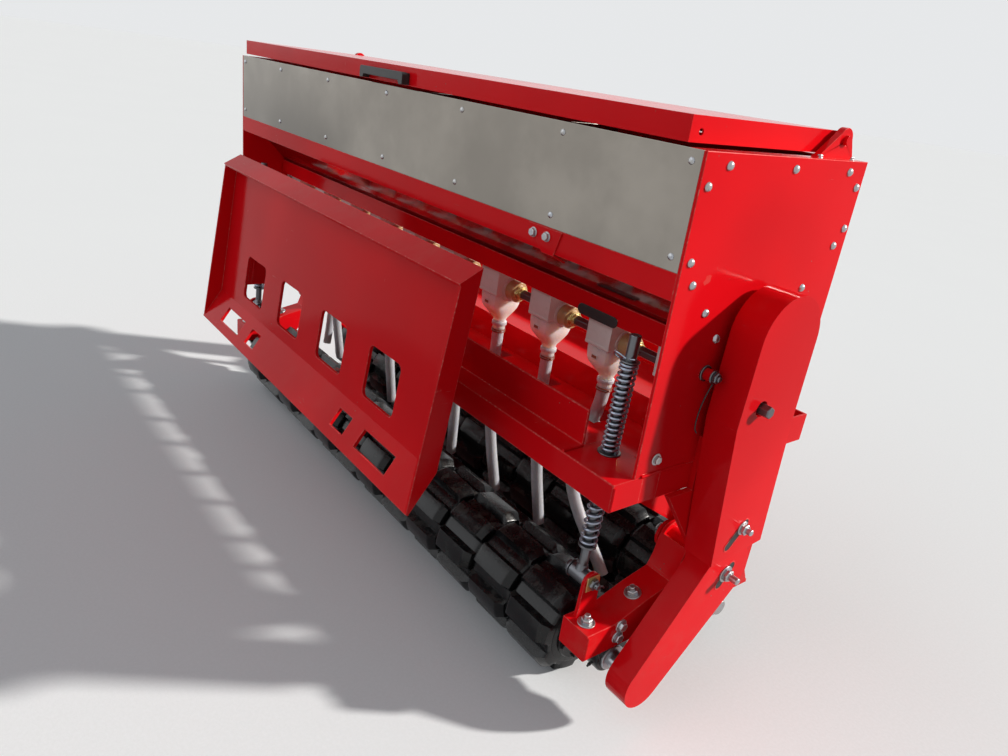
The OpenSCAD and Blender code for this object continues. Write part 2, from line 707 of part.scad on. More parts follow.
module front_arms() {
    top = [[front_axle_y - arm_front, arm_low], [front_axle_y - arm_front, arm_top],
        [front_axle_y - 0.29 * arm_front, arm_top],
        [front_axle_y + 0.51 * arm_front, arm_top + 0.26 * arm_rise],
        [front_axle_y + 0.9 * arm_front, arm_top + 0.57 * arm_rise]];
    color(red) both_sides() {
        difference() {
            union() {
                plate_x(arm_x0, arm_t) arm_outline();
                plate_x(arm_x0 + arm_w - arm_t, arm_t) arm_outline();
                plate_x(arm_x0, arm_w) polygon(folded(top, -arm_t));
                plate_x(arm_x0, arm_w) translate([front_axle_y - arm_front, arm_low])
                    square([1.64 * arm_front, arm_t]);
                bar_x(arm_x0 - 8, arm_x0 + arm_w, pivot_y, pivot_z, pivot_r + 12);
            }
            bar_x(arm_x0 - 10, arm_x0 + arm_w + 10, pivot_y, pivot_z, pivot_r);
        }
        difference() {
            plate_x(arm_x0 + 9, 8) union() {
                translate([rod_y, rod_z]) circle(r = 20);
                polygon([[rod_y - 20, rod_z], [rod_y + 20, rod_z],
                    [rod_y + 24, arm_top], [rod_y - 24, arm_top]]);
            }
            bar_x(0, half_w, rod_y, rod_z, 8);
        }
    }
}

module spring_rods() {
    top = frame_top + spring_top_l + 45 - rod_z;
    color([0.62, 0.64, 0.66]) both_sides() {
        difference() {
            union() {
                translate([rod_x, rod_y, rod_z]) rotate([-rod_lean, 0, 0]) {
                    cylinder(h = top, r = rod_r);
                    translate([0, 0, top - 42]) cylinder(h = 44, r = rod_r + 1);
                    translate([0, 0, frame_z - rod_z - spring_low_l - 4])
                        cylinder(h = 4, r = spring_r + wire_r);
                }
                bar_x(rod_x - 20, arm_x0 + 8.7, rod_y, rod_z, 16);
            }
        }
        bar_x(rod_x - 32, rod_x - 20, rod_y, rod_z, 12);
    }
}

module upper_springs() {
    color([0.55, 0.58, 0.62]) both_sides() translate([rod_x, rod_y, rod_z])
        rotate([-rod_lean, 0, 0]) translate([0, 0, frame_top - rod_z + 0.6])
            spring(spring_top_l, 17);
}

module lower_springs() {
    color([0.55, 0.58, 0.62]) both_sides() translate([rod_x, rod_y, rod_z])
        rotate([-rod_lean, 0, 0]) translate([0, 0, frame_z - rod_z - spring_low_l + 0.3])
            spring(spring_low_l - 1, 10);
}

// A bearing that hangs under a seat at height z, with its bore at y and axle_z
module hung_bearing(y, z) {
    x0 = arm_x0 + 12;
    w = arm_w - 24;
    difference() {
        union() {
            translate([x0, y - foot_l / 2, z - 14]) cube([w, foot_l, 14]);
            translate([x0 + 4, y - housing_w / 2, axle_z]) cube([w - 8, housing_w, z - axle_z - 6]);
            bar_x(x0 + 2, x0 + w - 2, y, axle_z, housing_w / 2);
        }
        bar_x(x0 - 1, x0 + w + 1, y, axle_z, axle_r + run_gap);
    }
}

module front_bearings() {
    color([0.06, 0.06, 0.07]) both_sides() hung_bearing(front_axle_y, arm_low - 0.1);
}

module rear_brackets() {
    z = arm_low;
    h = foot_l / 2 + 4;
    wall = [[rear_axle_y - h, z], [rear_axle_y + h, z], [rear_axle_y + 0.73 * h, z + h / 2],
        [rear_axle_y + 0.73 * h, tray_z - 0.1], [rear_axle_y - 0.73 * h, tray_z - 0.1],
        [rear_axle_y - 0.73 * h, z + h / 2]];
    color(red) both_sides() {
        translate([arm_x0, rear_axle_y - h, z]) cube([arm_w, 2 * h, arm_t]);
        plate_x(arm_x0 + arm_w - arm_t, arm_t) polygon(wall);
        plate_x(arm_x0, arm_t) polygon(wall);
    }
}

module rear_bearings() {
    color([0.06, 0.06, 0.07]) both_sides() hung_bearing(rear_axle_y, arm_low - 0.1);
}

module meter_shaft() {
    color([0.72, 0.7, 0.66]) {
        translate([-half_w + 2, shaft_y, shaft_z]) rotate([0, 90, 0])
            cylinder(h = half_w - 2 + tip_x, r = shaft_af / sqrt(3), $fn = 6);
        for (x = meter_x) bar_x(x + meter_w / 2 + 1, x + meter_w / 2 + 1 + collar_l,
            shaft_y, shaft_z, collar_r);
    }
}

module agitator() {
    color([0.6, 0.6, 0.6]) {
        bar_x(-half_w - 3, upper_x0 + 40, agitator_y, agitator_z, agitator_r);
        for (x = meter_x, s = [-1, 1]) translate([x + s * 12 - 3, agitator_y - finger_r, agitator_z - 3])
            cube([6, 2 * finger_r, 6]);
    }
}

// Outline of a ring: lobes with a flat top between notches
function ring_outline() = [for (k = [0 : lobes - 1]) let (a = 360 * k / lobes, h = lobe_width / 2)
    each [for (q = [[notch_r, -h - 4], [roller_r, -h], [roller_r, h], [notch_r, h + 4]])
        [q[0] * cos(a + q[1]), q[0] * sin(a + q[1])]]];

module roller(y, turn) {
    step = rings_w / ring_count;
    w = step - ring_gap;
    translate([0, y, axle_z]) rotate([0, 90, 0]) {
        translate([0, 0, -rings_w / 2]) cylinder(h = rings_w, r = notch_r - 14);
        for (i = [0 : ring_count - 1])
            translate([0, 0, -rings_w / 2 + i * step + ring_gap / 2])
                rotate([0, 0, turn * (0.5 + i % 2)]) linear_extrude(w) polygon(ring_outline());
    }
}

module front_roller() {
    color([0.05, 0.05, 0.055]) {
        roller(front_axle_y, 180 / lobes);
        bar_x(-arm_x0 - arm_w, lower_x0 + 34, front_axle_y, axle_z, axle_r);
    }
}

module rear_roller() {
    color([0.05, 0.05, 0.055]) {
        roller(rear_axle_y, 180 / lobes);
        bar_x(-arm_x0 - arm_w, arm_x0 + arm_w, rear_axle_y, axle_z, axle_r);
    }
}

placed() coupler_plate();
placed() coupler_gussets();
placed() front_sill();
placed() side_members();
placed() rear_tray();
placed() side_plates();
placed() front_panel();
placed() front_band();
placed() band_bracket();
placed() hopper_floor();
placed() back_panel();
placed() hopper_dividers();
placed() hinge_ears();
placed() meter_rail();
placed() meter_housings();
placed() meter_funnels();
placed() shaft_plates();
placed() seed_tube(1);  // seed_tube_1
placed() seed_tube(2);  // seed_tube_2
placed() seed_tube(3);  // seed_tube_3
placed() seed_tube(4);  // seed_tube_4
placed() seed_tube(5);  // seed_tube_5
placed() seed_tube(6);  // seed_tube_6
placed() seed_tube(7);  // seed_tube_7
placed() seed_tube(8);  // seed_tube_8
placed() seed_tube(9);  // seed_tube_9
placed() seed_tube(10);  // seed_tube_10
placed() upper_chain_case();
placed() lower_chain_case();
placed() pivot_hangers();
placed() pivot_shafts();
placed() front_arms();
placed() spring_rods();
placed() upper_springs();
placed() lower_springs();
placed() front_bearings();
placed() rear_brackets();
placed() rear_bearings();
placed() lid();
placed() lid_handle();
placed() meter_shaft();
placed() agitator();
placed() front_roller();
placed() rear_roller();
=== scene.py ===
import bpy
import bmesh
import json
import math
import random
from mathutils import Matrix, Vector


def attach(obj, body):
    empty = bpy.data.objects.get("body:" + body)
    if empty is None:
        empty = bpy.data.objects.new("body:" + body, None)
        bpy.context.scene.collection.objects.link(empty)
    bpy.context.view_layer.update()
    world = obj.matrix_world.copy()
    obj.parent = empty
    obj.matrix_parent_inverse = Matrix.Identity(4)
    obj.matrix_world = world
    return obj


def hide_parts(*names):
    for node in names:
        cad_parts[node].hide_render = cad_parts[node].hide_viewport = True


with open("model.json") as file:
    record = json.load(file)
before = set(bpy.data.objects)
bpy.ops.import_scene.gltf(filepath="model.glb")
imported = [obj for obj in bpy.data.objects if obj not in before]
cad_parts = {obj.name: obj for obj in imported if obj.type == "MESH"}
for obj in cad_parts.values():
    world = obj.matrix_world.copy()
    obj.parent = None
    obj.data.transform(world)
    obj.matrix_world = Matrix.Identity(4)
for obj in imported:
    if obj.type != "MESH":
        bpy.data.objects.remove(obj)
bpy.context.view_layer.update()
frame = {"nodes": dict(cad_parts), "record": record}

# Every length below is in millimetres on the machine: X from its centre plane towards the
# chain cases, Y from the coupler to the back, Z up from the ground.
ORIGIN_X, ORIGIN_Y = 32, 336
HALF_W = 886
FRAME_Z, FRAME_TOP = 473, 524
ARM_X0, ARM_W, ARM_T, FOOT_Z = 812, 66, 8, 148
PIVOT = (442, 296)
FRONT_AXLE, REAR_AXLE, AXLE_Z = 274, 590, 106
SHAFT = (382, 652)
ROD_X, ROD_FOOT, ROD_LEAN = 798, (217, 274), math.radians(2)
COIL_R, WIRE_R = 14, 2.5
METER_X = [(i - 4.5) * 177.2 for i in range(10)]
PANEL_Y = 197
CASE_FACE, LOWER_CASE_FACE = 962, 948
rng = random.Random(7)


def place(p):
    """A machine point in metres in the row frame."""
    return Vector(((p[0] - ORIGIN_X) / 1000, (p[1] - ORIGIN_Y) / 1000, p[2] / 1000))


# ---------------------------------------------------------------- camera
def set_camera():
    """The photo's view, fitted to the straight edges in it."""
    data = bpy.data.cameras.new("photo_camera")
    data.sensor_width = 36
    data.lens = 27.034
    camera = bpy.data.objects.new("photo_camera", data)
    bpy.context.scene.collection.objects.link(camera)
    right = Vector((0.59998, 0.78952, 0.12917))
    down = Vector((0.37490, -0.13484, -0.91721))
    forward = Vector((-0.70673, 0.59873, -0.37689))
    turn = Matrix((right, -down, -forward)).transposed().to_4x4()
    camera.matrix_world = Matrix.Translation(place((1560.4, -677.0, 1107.5))) @ turn
    data.clip_start, data.clip_end = 0.05, 200
    bpy.context.scene.camera = camera


set_camera()


# ---------------------------------------------------------------- shaders
class Sock:
    """A shader value that can be added, multiplied and compared like a number."""

    def __init__(self, nodes, socket):
        self.nodes, self.socket = nodes, socket

    def _math(self, operation, *values):
        return self.nodes.node("ShaderNodeMath", {"operation": operation}, *values)

    def __add__(self, other):
        return self._math("ADD", self, other)

    def __sub__(self, other):
        return self._math("SUBTRACT", self, other)

    def __rsub__(self, other):
        return self._math("SUBTRACT", other, self)

    def __mul__(self, other):
        return self._math("MULTIPLY", self, other)

    __radd__ = __add__

    def above(self, low, high):
        """0 below low, 1 above high and a smooth step between."""
        settings = {"interpolation_type": "SMOOTHSTEP"}
        return self.nodes.node("ShaderNodeMapRange", settings, self, low, high)

    def most(self, other):
        return self._math("MAXIMUM", self, other)


class Nodes:
    """Makes the nodes of one tree, up to the last one, which takes their results."""

    def __init__(self, owner, last):
        owner.use_nodes = True
        self.tree = owner.node_tree
        self.last = self.tree.nodes[last]

    def put(self, target, value):
        if isinstance(value, Sock):
            self.tree.links.new(value.socket, target)
        elif target.type == "RGBA":
            target.default_value = (*value, 1)
        else:
            target.default_value = value

    def put_named(self, made, values):
        for key, value in values.items():
            self.put(made.inputs[key.replace("_", " ")], value)

    def node(self, kind, settings, *values, out=0, **named):
        """Makes a node with its settings, and its inputs in order or by name."""
        made = self.tree.nodes.new(kind)
        for key, value in settings.items():
            setattr(made, key, value)
        for target, value in zip(made.inputs, values):
            self.put(target, value)
        self.put_named(made, named)
        return Sock(self, made.outputs[out])

    def seen(self):
        """1 where the camera, a reflection or a clear part looks, 0 where light is gathered."""
        ray = [self.node("ShaderNodeLightPath", {}, out="Is %s Ray" % kind)
               for kind in ("Camera", "Glossy", "Transmission")]
        return ray[0].most(ray[1]).most(ray[2])


class Recipe(Nodes):
    """The node tree of one finish."""

    def __init__(self, name):
        self.material = bpy.data.materials.new(name)
        super().__init__(self.material, "Principled BSDF")
        self.where = self.node("ShaderNodeTexCoord", {}, out="Object")

    def noise(self, scale, detail=3, rough=0.5, stretch=None):
        at = self.where
        if stretch:
            at = self.node("ShaderNodeMapping", {}, Vector=at, Scale=stretch)
        return self.node("ShaderNodeTexNoise", {}, Vector=at, Scale=scale, Detail=detail,
                         Roughness=rough)

    def cells(self, scale):
        return self.node("ShaderNodeTexVoronoi", {}, Vector=self.where, Scale=scale)

    def mix(self, share, a, b):
        """Colour a where the share is 0, colour b where it is 1; 6, 7 and 2 are colour sockets."""
        made = self.tree.nodes.new("ShaderNodeMix")
        made.data_type = "RGBA"
        self.put(made.inputs["Factor"], share)
        self.put(made.inputs[6], a)
        self.put(made.inputs[7], b)
        return Sock(self, made.outputs[2])

    def part(self, vector, axis):
        return self.node("ShaderNodeSeparateXYZ", {}, vector, out=axis)

    def facing(self, axis):
        return self.part(self.node("ShaderNodeNewGeometry", {}, out="Normal"), axis)

    def height(self):
        return self.part(self.where, "Z")

    def bump(self, value, strength, distance, normal=None):
        made = {"Height": value, "Strength": strength, "Distance": distance}
        if normal:
            made["Normal"] = normal
        return self.node("ShaderNodeBump", {}, **made)

    def finish(self, **sockets):
        self.put_named(self.last, sockets)
        return self.material


DUST, SOIL, OIL = (0.42, 0.33, 0.26), (0.13, 0.135, 0.115), (0.13, 0.13, 0.14)
SCUFFED, RUBBED_PINK_AND_HIGHLIGHT, CHIPPED = (0.72, 0.16, 0.13), (0.80, 0.26, 0.22), (0.26, 0.17, 0.15)


def red_enamel(name, colour=(0.89, 0.006, 0.012), rubbed_and_highlight=0.0, gloss=0.10):
    """Thick glossy enamel with flow marks, dust on its tops, scuffs and chips."""
    r = Recipe(name)
    broad = r.noise(2.3, 2)
    patch = r.noise(14, 4, 0.6)
    paint = r.mix(broad.above(0.35, 0.7), tuple(c * 0.8 for c in colour), colour)
    scuff_a = r.noise(9, 5, 0.7, stretch=(1.0, 1.0, 9.0)).above(0.66, 0.7)
    scuff_b = r.noise(22, 3, 0.6, stretch=(7.0, 1.0, 1.0)).above(0.7, 0.73)
    scuff = scuff_a.most(scuff_b) * r.noise(3.1, 2).above(0.5, 0.62)
    chips = (1 - r.cells(58).above(0.06, 0.09)) * r.noise(5.5, 2).above(0.6, 0.68)
    top = r.facing("Z").above(0.3, 0.95)
    dust = (top * patch.above(0.42, 0.75) * 0.07).most(
        (1 - r.height().above(0.10, 0.50)) * patch.above(0.45, 0.8) * 0.10)
    paint = r.mix(scuff * 0.3, paint, SCUFFED)
    # Light pink rubbing on the edges: partly paint wear, partly painted highlight.
    if rubbed_and_highlight:
        paint = r.mix(r.noise(140, 4, 0.7).above(0.5, 0.66) * rubbed_and_highlight, paint, RUBBED_PINK_AND_HIGHLIGHT)
    paint = r.mix(chips, paint, CHIPPED)
    paint = r.mix(dust, paint, DUST)
    rough = (gloss + patch * 0.05 + dust * 0.8).most(scuff * 0.4).most(chips * 0.6)
    sink = r.bump(r.noise(42, 2), 0.05, 0.002)
    sink = r.bump(1 - chips - scuff * 0.2, 0.3, 0.0004, sink)
    return r.finish(Base_Color=paint, Roughness=rough, Normal=sink, Specular_IOR_Level=0.06)


# The default tint is dark and warm: painted dark and beige reflection on the sheet.
def bright_stainless(name, tint=(0.34, 0.31, 0.275), dull=0.03):
    """Rolled stainless sheet: fine lines along X, dents, finger marks and a lower half painted
    darker as dark reflection.
    """
    r = Recipe(name)
    lines = r.noise(120, 3, 0.6, stretch=(0.03, 1.0, 1.0))
    marks = r.noise(6, 4, 0.6)
    paint = r.mix(marks.above(0.35, 0.75), tuple(c * 0.82 for c in tint), tint)
    # Patches that darken the sheet towards its bottom: painted dark reflection.
    cloud_and_painted_reflection = (1 - r.height().above(0.86, 1.03)) * r.noise(1.7, 2).above(0.38, 0.62)
    paint = r.mix(cloud_and_painted_reflection * 0.75, paint, tuple(c * 0.42 for c in tint))
    rough = dull + lines * 0.08 + marks.above(0.5, 0.8) * 0.09
    dents = r.bump(r.noise(3.2, 1), 0.25, 0.006)
    dents = r.bump(lines, 0.08, 0.0004, dents)
    return r.finish(Base_Color=paint, Metallic=1.0, Roughness=rough, Normal=dents)


def zinc_plate(name, tint=(0.44, 0.46, 0.50), warm=0.35, dull=0.22, stain=(0.42, 0.36, 0.24)):
    """Zinc plate with cloudy grey, a little yellow and dark oil in its corners."""
    r = Recipe(name)
    # On zinc this mask is only a cloudy tone.
    cloud_and_painted_reflection = r.noise(55, 4, 0.65)
    spots = r.noise(320, 3, 0.7)
    paint = r.mix(cloud_and_painted_reflection.above(0.35, 0.7) * warm, tint, stain)
    paint = r.mix(spots.above(0.56, 0.7) * 0.5, paint, OIL)
    rough = dull + cloud_and_painted_reflection * 0.2
    return r.finish(Base_Color=paint, Metallic=0.9, Roughness=rough,
                    Normal=r.bump(spots, 0.12, 0.0005))


def cast_black(name):
    """Shiny black paint over rough cast iron, with dry soil on its tops and hollows."""
    r = Recipe(name)
    grain = r.noise(420, 4, 0.6)
    lumps = r.noise(60, 3, 0.55)
    soil = r.noise(16, 5, 0.65)
    paint = r.mix(lumps, (0.004, 0.004, 0.005), (0.011, 0.011, 0.012))
    top = r.facing("Z").above(0.5, 0.98)
    dirt = (soil.above(0.52, 0.74) * 0.12).most(top * r.noise(34, 4, 0.65).above(0.45, 0.72) * 0.25)
    paint = r.mix(dirt, paint, SOIL)
    rough = 0.16 + grain * 0.12 + dirt * 0.8
    bump = r.bump(lumps, 0.25, 0.002)
    bump = r.bump(grain, 0.2, 0.0008, bump)
    return r.finish(Base_Color=paint, Roughness=rough, Normal=bump, Specular_IOR_Level=0.3)


def moulded(name, colour, dirty=(0.45, 0.40, 0.33), rough=0.42, grime=0.35, clear=0.0):
    """Moulded plastic with a light grain, flow shades and grime."""
    r = Recipe(name)
    flow = r.noise(11, 3, 0.6)
    grain = r.noise(700, 2)
    dust = r.noise(38, 4, 0.7)
    paint = r.mix(flow.above(0.3, 0.75), tuple(c * 0.9 for c in colour), colour)
    paint = r.mix(dust.above(0.52, 0.75) * grime, paint, dirty)
    made = dict(Base_Color=paint, Roughness=rough + dust * 0.15,
                Normal=r.bump(grain, 0.08, 0.0004))
    if clear:
        made.update(Subsurface_Weight=clear, Subsurface_Radius=(0.03, 0.028, 0.022),
                    Subsurface_Scale=1.0)
    return r.finish(**made)


RED = red_enamel("red_enamel")
# Lighter red for the bevelled edges: rubbed paint and painted edge highlights.
RED_EDGE_WEAR_AND_HIGHLIGHT = red_enamel("red_edge_wear_and_painted_highlight", (0.88, 0.05, 0.05), 0.6, 0.2)
STAINLESS = bright_stainless("rolled_stainless")
# A lighter copy of the same stainless for the hopper floor; the panel's darker tint is painted
# reflection.
SHADED_STAINLESS = bright_stainless("hopper_stainless", (0.50, 0.48, 0.46), 0.04)
ZINC = zinc_plate("zinc_plate")
STEEL = zinc_plate("grey_steel", (0.15, 0.155, 0.17), 0.3, 0.2, (0.11, 0.10, 0.09))
GOLD_ZINC = zinc_plate("yellow_zinc", (0.62, 0.50, 0.22), 0.6, 0.24, (0.55, 0.36, 0.10))
DARK_STEEL = zinc_plate("sprung_steel", (0.30, 0.34, 0.42), 0.1, 0.2)
CAST = cast_black("cast_black")
WHITE = moulded("white_moulding", (0.82, 0.80, 0.78), grime=0.25)
COLLAR = moulded("brown_collar", (0.55, 0.36, 0.17), (0.25, 0.15, 0.06), 0.22)
MILKY = moulded("milky_hose", (0.95, 0.93, 0.88), clear=0.85, rough=0.2, grime=0.08)
BROWN = moulded("brown_ring", (0.30, 0.08, 0.04), (0.2, 0.12, 0.08))
BLACK = moulded("black_grip", (0.016, 0.016, 0.017), (0.1, 0.09, 0.08), 0.4, 0.2)
FINISH_OF_SLOT = {"red_paint": RED, "stainless": STAINLESS, "zinc_steel": ZINC,
                  "black_iron": CAST, "white_plastic": WHITE, "clear_plastic": MILKY,
                  "black_plastic": BLACK}


# ---------------------------------------------------------------- shapes
def across(direction):
    """Two directions at right angles to the given one."""
    along = Vector(direction).normalized()
    helper = Vector((0, 0, 1)) if abs(along.z) < 0.9 else Vector((0, 1, 0))
    side = along.cross(helper).normalized()
    return side, along.cross(side)


def arc(centre, radius, start, end, steps):
    """Points on an arc in a flat outline, angles in degrees."""
    turn = [math.radians(start + (end - start) * i / steps) for i in range(steps + 1)]
    return [(centre[0] + radius * math.cos(t), centre[1] + radius * math.sin(t)) for t in turn]


def strip(points, thick):
    """Outline of a folded sheet: its face through the points, its thickness to their right."""
    def unit(a, b):
        run = math.hypot(b[0] - a[0], b[1] - a[1])
        return (b[1] - a[1]) / run, (a[0] - b[0]) / run
    sides = [unit(a, b) for a, b in zip(points, points[1:])]
    back = []
    for i, (x, y) in enumerate(points):
        u, v = sides[max(i - 1, 0)], sides[min(i, len(sides) - 1)]
        k = thick / (1 + u[0] * v[0] + u[1] * v[1])
        back.append((x + (u[0] + v[0]) * k, y + (u[1] + v[1]) * k))
    return list(points) + back[::-1]


def bend(points, steps=4):
    """A smooth path through the points."""
    pts = [Vector(p) for p in points]
    path = []
    for i in range(len(pts) - 1):
        a, b, c, d = pts[max(i - 1, 0)], pts[i], pts[i + 1], pts[min(i + 2, len(pts) - 1)]
        for k in range(steps):
            t = k / steps
            path.append(0.5 * (2 * b + (c - a) * t + (2 * a - 5 * b + 4 * c - d) * t ** 2
                               + (3 * b - a - 3 * c + d) * t ** 3))
    return path + [pts[-1]]


class Shape:
    """Solids gathered in one mesh, in millimetres on the machine."""

    def __init__(self):
        self.mesh = bmesh.new()
        self.paint = 0

    def face(self, verts):
        made = self.mesh.faces.new(verts)
        made.material_index = self.paint
        made.smooth = True

    def skin(self, rings, loop=False):
        """Joins rings of equal length with quads; closes both ends, or joins them in a loop."""
        rings = [[self.mesh.verts.new(p) for p in ring] for ring in rings]
        pairs = list(zip(rings, rings[1:])) + ([(rings[-1], rings[0])] if loop else [])
        for a, b in pairs:
            for i in range(len(a)):
                j = (i + 1) % len(a)
                self.face((a[i], a[j], b[j], b[i]))
        if not loop:
            self.face(rings[0][::-1])
            self.face(rings[-1])

    def prism(self, outline, low, high, axis="x"):
        """A plate from low to high along an axis; the outline has the other two axes."""
        def at(p, height):
            q = list(p)
            q.insert("xyz".index(axis), height)
            return q
        self.skin([[at(p, low) for p in outline], [at(p, high) for p in outline]])

    def box(self, low, high):
        self.prism([(low[1], low[2]), (high[1], low[2]), (high[1], high[2]), (low[1], high[2])],
                   low[0], high[0])

    def turned(self, profile, at, along=(1, 0, 0), sides=32, loop=False, phase=0.0):
        """A lathe part: (distance, radius) pairs that run from at in a direction."""
        at, along = Vector(at), Vector(along).normalized()
        u, v = across(along)
        turns = [phase + 2 * math.pi * k / sides for k in range(sides)]
        self.skin([[at + along * run + (u * math.cos(t) + v * math.sin(t)) * radius
                    for t in turns] for run, radius in profile], loop=loop)

    def hose(self, points, radius, sides=12, loop=False, bore=0.0):
        """A round bar along points, with one radius or one for each point."""
        pts = [Vector(p) for p in points]
        count = len(pts)
        radii = radius if isinstance(radius, (list, tuple)) else [radius] * count
        rings, inner = [], []
        side = None
        for i, p in enumerate(pts):
            ahead = pts[(i + 1) % count] if loop else pts[min(i + 1, count - 1)]
            behind = pts[i - 1] if loop else pts[max(i - 1, 0)]
            along = (ahead - behind).normalized()
            if side is None:
                side = across(along)[0]
            side = (side - along * side.dot(along)).normalized()
            up = along.cross(side)
            turns = [2 * math.pi * k / sides for k in range(sides)]
            ring = [side * math.cos(t) + up * math.sin(t) for t in turns]
            rings.append([p + q * radii[i] for q in ring])
            inner.append([p + q * bore for q in ring])
        if bore:
            self.skin(rings + inner[::-1], loop=True)
        else:
            self.skin(rings, loop=loop)

    def bolt(self, at, out, af=18, washer=1.35, stud=0.0, tall=0.42):
        """A hex head or nut on its washer, seated at a point and facing out."""
        at, out = Vector(at), Vector(out).normalized()
        r = af / math.sqrt(3)
        base = 0.0
        if washer:
            w, base = af * washer / 2 * 1.1, af * 0.13
            self.turned([(-0.4, w), (base * 0.7, w), (base, w * 0.94)], at, out, 24)
        h = af * tall
        turn = rng.random()
        self.turned([(base - 0.2, r * 0.97), (base + 0.5, r), (base + h * 0.8, r),
                     (base + h, r * 0.86)], at, out, 6, phase=turn)
        if stud:
            s = af * 0.31
            self.turned([(base + h - 1, s), (base + h + stud - 1.2, s), (base + h + stud, s * 0.8)],
                        at, out, 14)

    def bead(self, a, b, radius, pitch=3.4):
        """A rippled weld bead between two points."""
        a, b = Vector(a), Vector(b)
        steps = int((b - a).length / pitch)
        path = [a.lerp(b, i / steps) for i in range(steps)] + [b]
        radii = [radius * (0.86 + 0.2 * (i % 2) + 0.12 * rng.random()) for i in range(len(path))]
        self.hose(path, radii, 6)


def piece(name, shape, paints, body="frame", replaces=(), bevel=0.0, angle=35, edge_wear_and_highlight_slot=-1):
    """Turns a shape into an object that rides on a body."""
    bmesh.ops.recalc_face_normals(shape.mesh, faces=shape.mesh.faces)
    for vert in shape.mesh.verts:
        vert.co = place(vert.co)
    mesh = bpy.data.meshes.new(name)
    shape.mesh.to_mesh(mesh)
    shape.mesh.free()
    mesh.set_sharp_from_angle(angle=math.radians(angle))
    for paint in paints:
        mesh.materials.append(paint)
    made = bpy.data.objects.new(name, mesh)
    bpy.context.scene.collection.objects.link(made)
    # Bevel faces take the slot given for edge wear and painted highlight.
    if bevel:
        soften(made, bevel, edge_wear_and_highlight_slot, angle)
    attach(made, body)
    if replaces:
        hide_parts(*replaces)
    return made


def soften(made, width, paint, angle=40):
    """Rounds an object's edges by a width in millimetres; they take a material slot, or -1."""
    soft = made.modifiers.new("soft_edges", "BEVEL")
    soft.width, soft.segments, soft.material = width / 1000, 2, paint
    soft.limit_method, soft.angle_limit = "ANGLE", math.radians(angle)
    soft.harden_normals = False
    even = made.modifiers.new("even_light", "WEIGHTED_NORMAL")
    even.keep_sharp = True


# ---------------------------------------------------------------- seed tubes
# Along a tube: share of the way to its end, drop, share of its bow and of its early step
TUBE_ROUTE = ((0, 0, 0, 0), (0, 33, 0, 0.05), (0.01, 66, 0.06, 0.5), (0.03, 99, 0.18, 0.95),
              (0.07, 132, 0.35, 1), (0.13, 165, 0.54, 1), (0.2, 198, 0.73, 1),
              (0.29, 231, 0.88, 1), (0.38, 264, 0.96, 1), (0.48, 297, 0.95, 1),
              (0.58, 330, 0.84, 1), (0.68, 363, 0.65, 1), (0.79, 396, 0.42, 1),
              (0.9, 429, 0.2, 1), (1, 460, 0, 1))
# For each tube: its end along X and Y, how much shorter it is, its bow and its early step
TUBE_ENDS = ((8, 50, 10, 0, 22), (16, 44, 26, 10, 0), (-20, 52, 0, -16, 0),
             (10, 46, 16, 12, 0), (24, 54, 30, 0, 0), (-16, 48, 4, 20, 0), (12, 48, -2, -12, 0),
             (10, 50, 2, -8, 0), (57, 48, 0, -85, 0), (-8, 76, 8, 0, -22))
# Tubes 1 and 10 pass behind the arms' pivots; X is mirrored for tube 1
END_TUBE = ((797.4, 382, 573.2), (797.4, 382, 540), (793, 385, 517), (783, 400, 492),
            (779, 416, 466), (779, 428, 441), (780, 444, 414), (782, 460, 384), (784, 472, 350),
            (785, 477, 310), (785, 477, 265), (784, 474, 220), (783, 469, 170), (782, 462, 121))
TUBE_TOP, TUBE_DROP, TUBE_R, TUBE_BORE = 573.2, 460, 13.5, 11.0


def seed_tubes():
    """Ten milky hoses that hang from the funnels and end open between the rollers."""
    for k, (dx, dy, shorter, bow, step) in enumerate(TUBE_ENDS):
        scale = (TUBE_DROP - shorter) / TUBE_DROP
        path = bend([(METER_X[k] + dx * share + bow * side + step * early,
                      SHAFT[0] + dy * share, TUBE_TOP - scale * drop)
                     for share, drop, side, early in TUBE_ROUTE], 2)
        if k in (0, 9):
            path = bend([(x * (1 if k else -1), y, z) for x, y, z in END_TUBE], 2)
        shape = Shape()
        shape.hose(path, TUBE_R, 24, bore=TUBE_BORE)
        name = "seed_tube_%d" % (k + 1)
        made = piece("hose_%d" % (k + 1), shape, [MILKY], replaces=(name,))
        route = [place(p) for p in path]


seed_tubes()


# ---------------------------------------------------------------- rollers
RINGS, RING_STEP, RING_W, RING_END = 12, 130, 125, 780
# Points of one pad and of the valley after it, in degrees from the pad's middle
PAD_HALF = 11
PAD_ANGLES = (-15, -11, -5.5, 0, 5.5, 11, 15, 18.75, 22.5, 26.25)
# Distance from the ring's side, radius of its pads, radius between them
RING_SECTIONS = ((0, 88, 78), (1.2, 93, 84), (4, 96, 86.5), (7, 98, 87.5), (12, 103.6, 88),
                 (16, 105.6, 88), (19, 106, 88))


def ring_section(axle_y, middle, top, valley):
    """Outline of a ring with eight raised pads."""
    outline = []
    for k in range(8):
        for a in PAD_ANGLES:
            t = math.radians(middle + 45 * k + a)
            r = top if abs(a) <= PAD_HALF else valley
            outline.append((axle_y + r * math.cos(t), AXLE_Z + r * math.sin(t)))
    return outline


